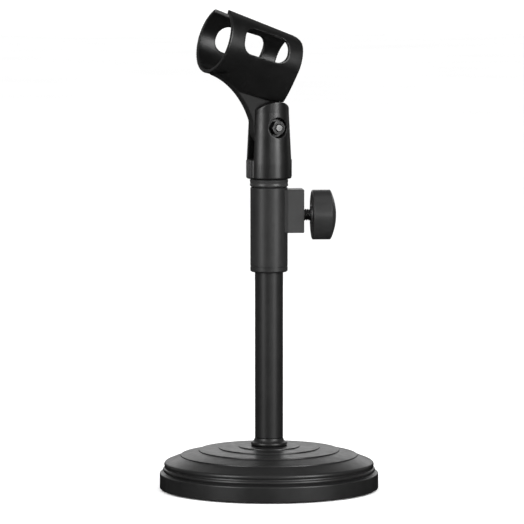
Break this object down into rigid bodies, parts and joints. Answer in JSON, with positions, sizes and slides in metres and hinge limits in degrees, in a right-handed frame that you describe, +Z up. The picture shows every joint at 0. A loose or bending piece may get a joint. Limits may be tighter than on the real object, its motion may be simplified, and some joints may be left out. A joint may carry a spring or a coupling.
{
  "type": "desktop microphone stand",
  "caption": "Desktop microphone stand: weighted round base, telescoping pole with a side clamp knob, and a tilting clip with an open tapered holder.",
  "frame": {"origin": "centre of the round base's underside, on the table, on the pole's axis", "axes": "+Z up along the pole, +X along the clamp's axis out to the knob; the holder's wide end points to -X and a little to -Y"},
  "size_m": [0.1322, 0.1322, 0.2901],
  "materials": {
    "painted_steel": "satin black powder coat on steel",
    "moulded_plastic": "satin black moulded plastic",
    "base_plastic": "semi-gloss black moulded plastic",
    "bare_steel": "plain zinc-plated or turned steel",
    "iron": "rough grey casting",
    "brass": "turned brass",
    "nylon": "off-white nylon",
    "rubber": "matt black non-slip pad"
  },
  "bodies": {
    "stand": {"base_shell": "base_plastic", "ballast_weight": "iron", "bottom_cover": "bare_steel", "cover_screw_1": "bare_steel", "cover_screw_2": "bare_steel", "cover_screw_3": "bare_steel", "cover_screw_4": "bare_steel", "base_pad": "rubber", "foot_washer": "bare_steel", "foot_spring_washer": "bare_steel", "foot_nut": "bare_steel", "pole_foot": "painted_steel", "outer_pole": "painted_steel", "clutch_housing": "painted_steel", "clutch_liner": "nylon", "clamp_nut": "bare_steel"},
    "slider": {"riser_bush": "nylon"},
    "riser": {"riser_tube": "bare_steel", "riser_fitting": "painted_steel", "clip_insert": "brass", "clip_base": "moulded_plastic", "pivot_screw": "bare_steel", "pivot_nut": "bare_steel", "pivot_washer_nut": "bare_steel", "pivot_washer_head": "bare_steel"},
    "holder": {"clip_holder": "moulded_plastic"},
    "clamp_shoe": {"clamp_shoe": "nylon"},
    "knob": {"clamp_screw": "bare_steel", "clamp_knob": "moulded_plastic"}
  },
  "joints": [
    {"name": "height_slide", "type": "slide", "parent": "stand", "child": "slider", "axis": [0, 0, 1], "range_m": [0, 0.095]},
    {"name": "swivel", "type": "hinge", "parent": "slider", "child": "riser", "pos_m": [0, 0, 0.1], "axis": [0, 0, 1], "continuous": true},
    {"name": "clip_tilt", "type": "hinge", "parent": "riser", "child": "holder", "pos_m": [0, 0, 0.2188], "axis": [0.4067, -0.9135, 0], "range_deg": [-75, 85]},
    {"name": "shoe_slide", "type": "slide", "parent": "stand", "child": "clamp_shoe", "axis": [1, 0, 0], "range_m": [0, 0.00127]},
    {"name": "knob_turn", "type": "hinge", "parent": "clamp_shoe", "child": "knob", "pos_m": [0.03, 0, 0.1659], "axis": [1, 0, 0], "range_deg": [0, 360]}
  ],
  "couplings": [
    {"joint": "knob_turn", "follows": "shoe_slide", "rad_per_m": 4947.4}
  ]
}
